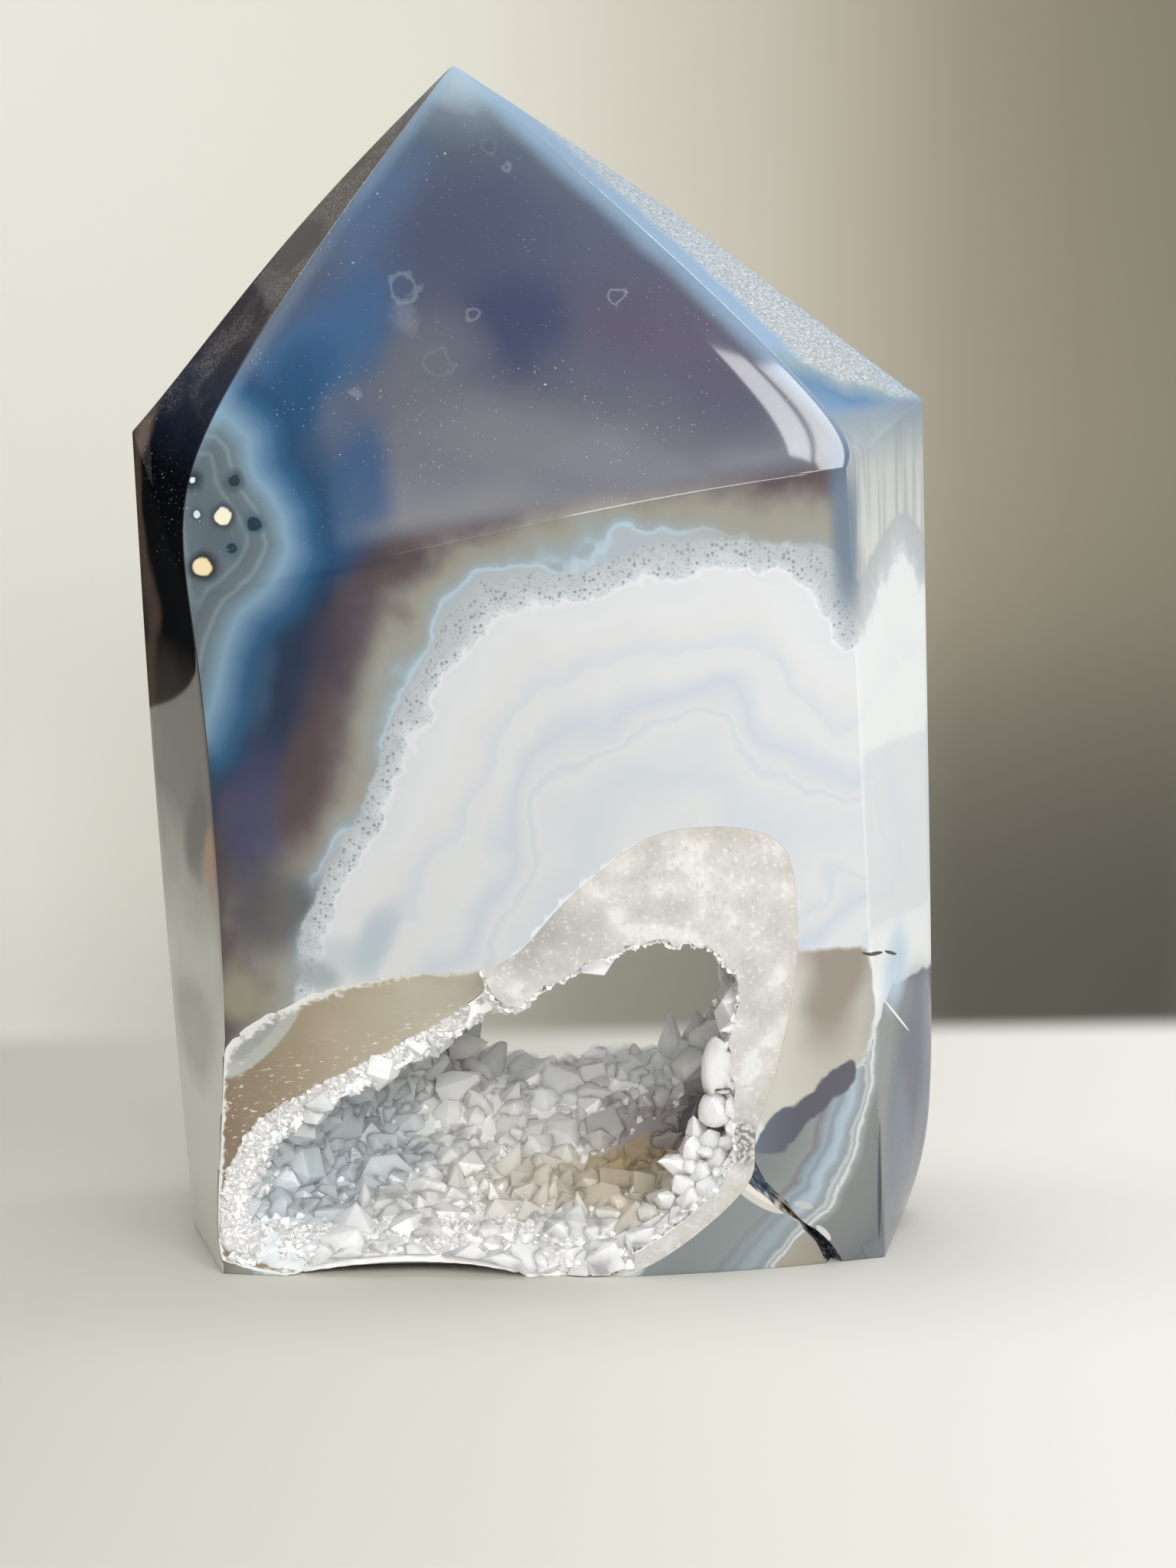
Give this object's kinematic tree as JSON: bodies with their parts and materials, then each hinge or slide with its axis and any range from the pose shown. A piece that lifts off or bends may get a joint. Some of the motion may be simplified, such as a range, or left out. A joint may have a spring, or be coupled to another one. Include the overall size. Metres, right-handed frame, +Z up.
{
  "type": "druzy agate tower",
  "caption": "Free-standing polished agate point, wide and flat, with a natural hollow through its foot that is lined with druzy quartz crystals.",
  "frame": {"origin": "centre of the bounding rectangle of the stone, on the surface it stands on", "axes": "+Z up along the height to the point, -Y towards the front face with the wide mouth of the hollow, +X to the right seen from the front"},
  "size_m": [0.1036, 0.052, 0.15],
  "materials": {
    "polished_agate": "polished to a gloss, opaque to faintly translucent, blue-grey and white bands",
    "druzy_quartz": "clear to milky crystal faces, glossy and sparkling"
  },
  "bodies": {
    "root": {"agate_tower": "polished_agate", "druzy_crust": "druzy_quartz"}
  },
  "joints": []
}
